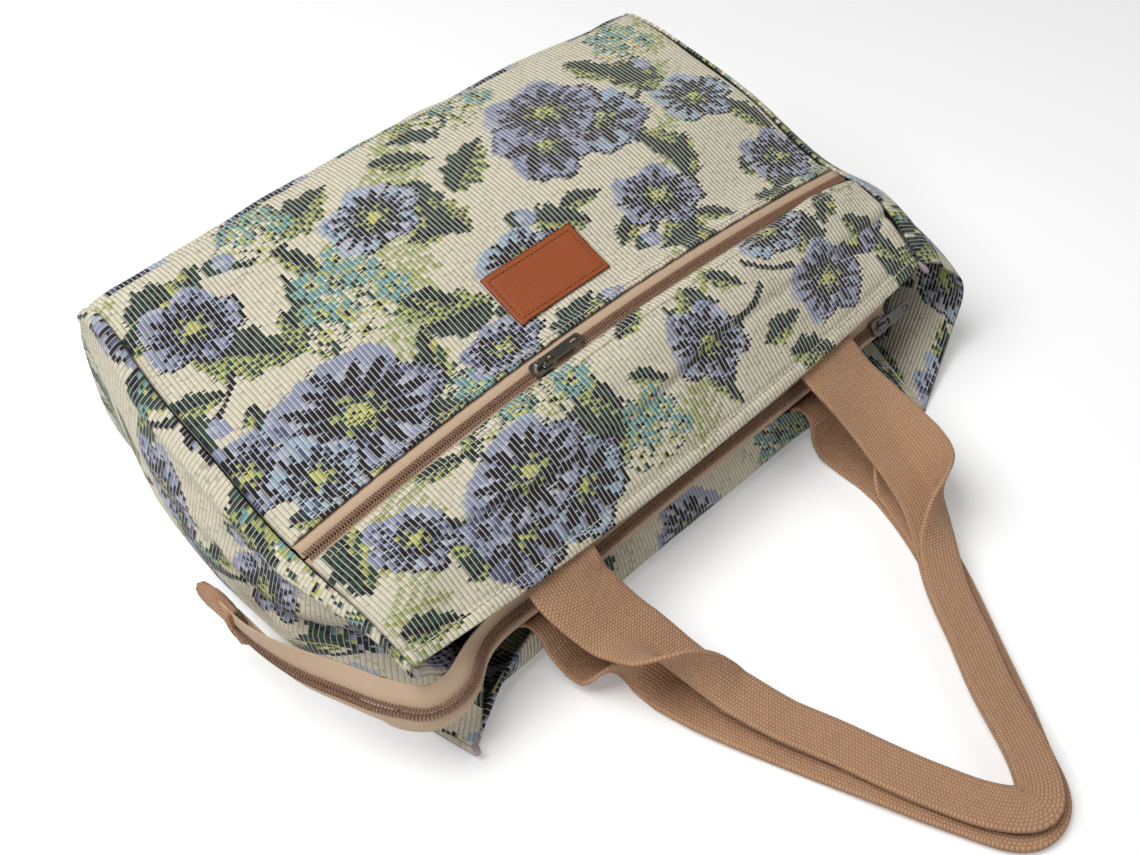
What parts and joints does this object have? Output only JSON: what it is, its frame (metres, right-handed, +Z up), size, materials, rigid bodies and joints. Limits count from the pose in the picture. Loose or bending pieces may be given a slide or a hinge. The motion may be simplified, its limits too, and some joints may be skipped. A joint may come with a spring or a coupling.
{
  "type": "tapestry shopping bag",
  "caption": "Woven floral shopping bag lying on its back, with a zipped mouth, a curved zip pocket on the front, webbing handles and a blank leather patch.",
  "frame": {"origin": "centre of the face that the bag lies on, on the ground under the middle of the back panel", "axes": "+X along the width of the bag, +Y from the mouth toward the base, +Z up out of the front panel"},
  "size_m": [0.4313, 0.4673, 0.124],
  "materials": {
    "tapestry": "woven, floral pattern in cream, lavender, green and yellow on navy accents",
    "lining": "plain dark cloth",
    "zip_tape": "fine woven tape",
    "zip_coil": "satin",
    "webbing": "coarse basket weave",
    "leather": "smooth, blank",
    "hardware": "dark plated"
  },
  "bodies": {
    "bag": {"back_panel": "tapestry", "base_panel": "tapestry", "front_panel": "tapestry", "front_top_panel": "tapestry", "gusset_left": "tapestry", "gusset_right": "tapestry", "facing_front": "tapestry", "facing_back": "tapestry", "lining_front": "lining", "lining_back": "lining", "lining_left": "lining", "lining_right": "lining", "pocket_bag_outer": "lining", "pocket_bag_inner": "lining", "pocket_tape_upper": "zip_tape", "pocket_tape_lower": "zip_tape", "main_tape_front": "zip_tape", "main_tape_back": "zip_tape", "pocket_coil_upper": "zip_coil", "pocket_coil_lower": "zip_coil", "main_coil_front": "zip_coil", "main_coil_back": "zip_coil", "zip_end_tab": "webbing", "handle_front": "webbing", "handle_back": "webbing", "leather_patch": "leather"},
    "pocket_slider": {"pocket_slider": "hardware"},
    "pocket_pull": {"pocket_pull": "hardware"},
    "main_slider": {"main_slider": "hardware"},
    "main_pull": {"main_pull": "hardware"}
  },
  "joints": [
    {"name": "pocket_zip", "type": "hinge", "parent": "bag", "child": "pocket_slider", "pos_m": [0.04056, -0.0435, -1.05589], "axis": [0.0247, 0.9997, 0], "range_deg": [-6.41, 10.59]},
    {"name": "pocket_pull_swing", "type": "hinge", "parent": "pocket_slider", "child": "pocket_pull", "pos_m": [-0.04261, -0.04145, 0.09497], "axis": [-0.0247, -0.9997, 0], "range_deg": [0, 165]},
    {"name": "main_zip", "type": "slide", "parent": "bag", "child": "main_slider", "axis": [1, 0, 0], "range_m": [-0.25, 0.004]},
    {"name": "main_pull_swing", "type": "hinge", "parent": "main_slider", "child": "main_pull", "pos_m": [0.146, -0.10705, 0.03818], "axis": [0, -0.6018, -0.7986], "range_deg": [0, 165]}
  ]
}
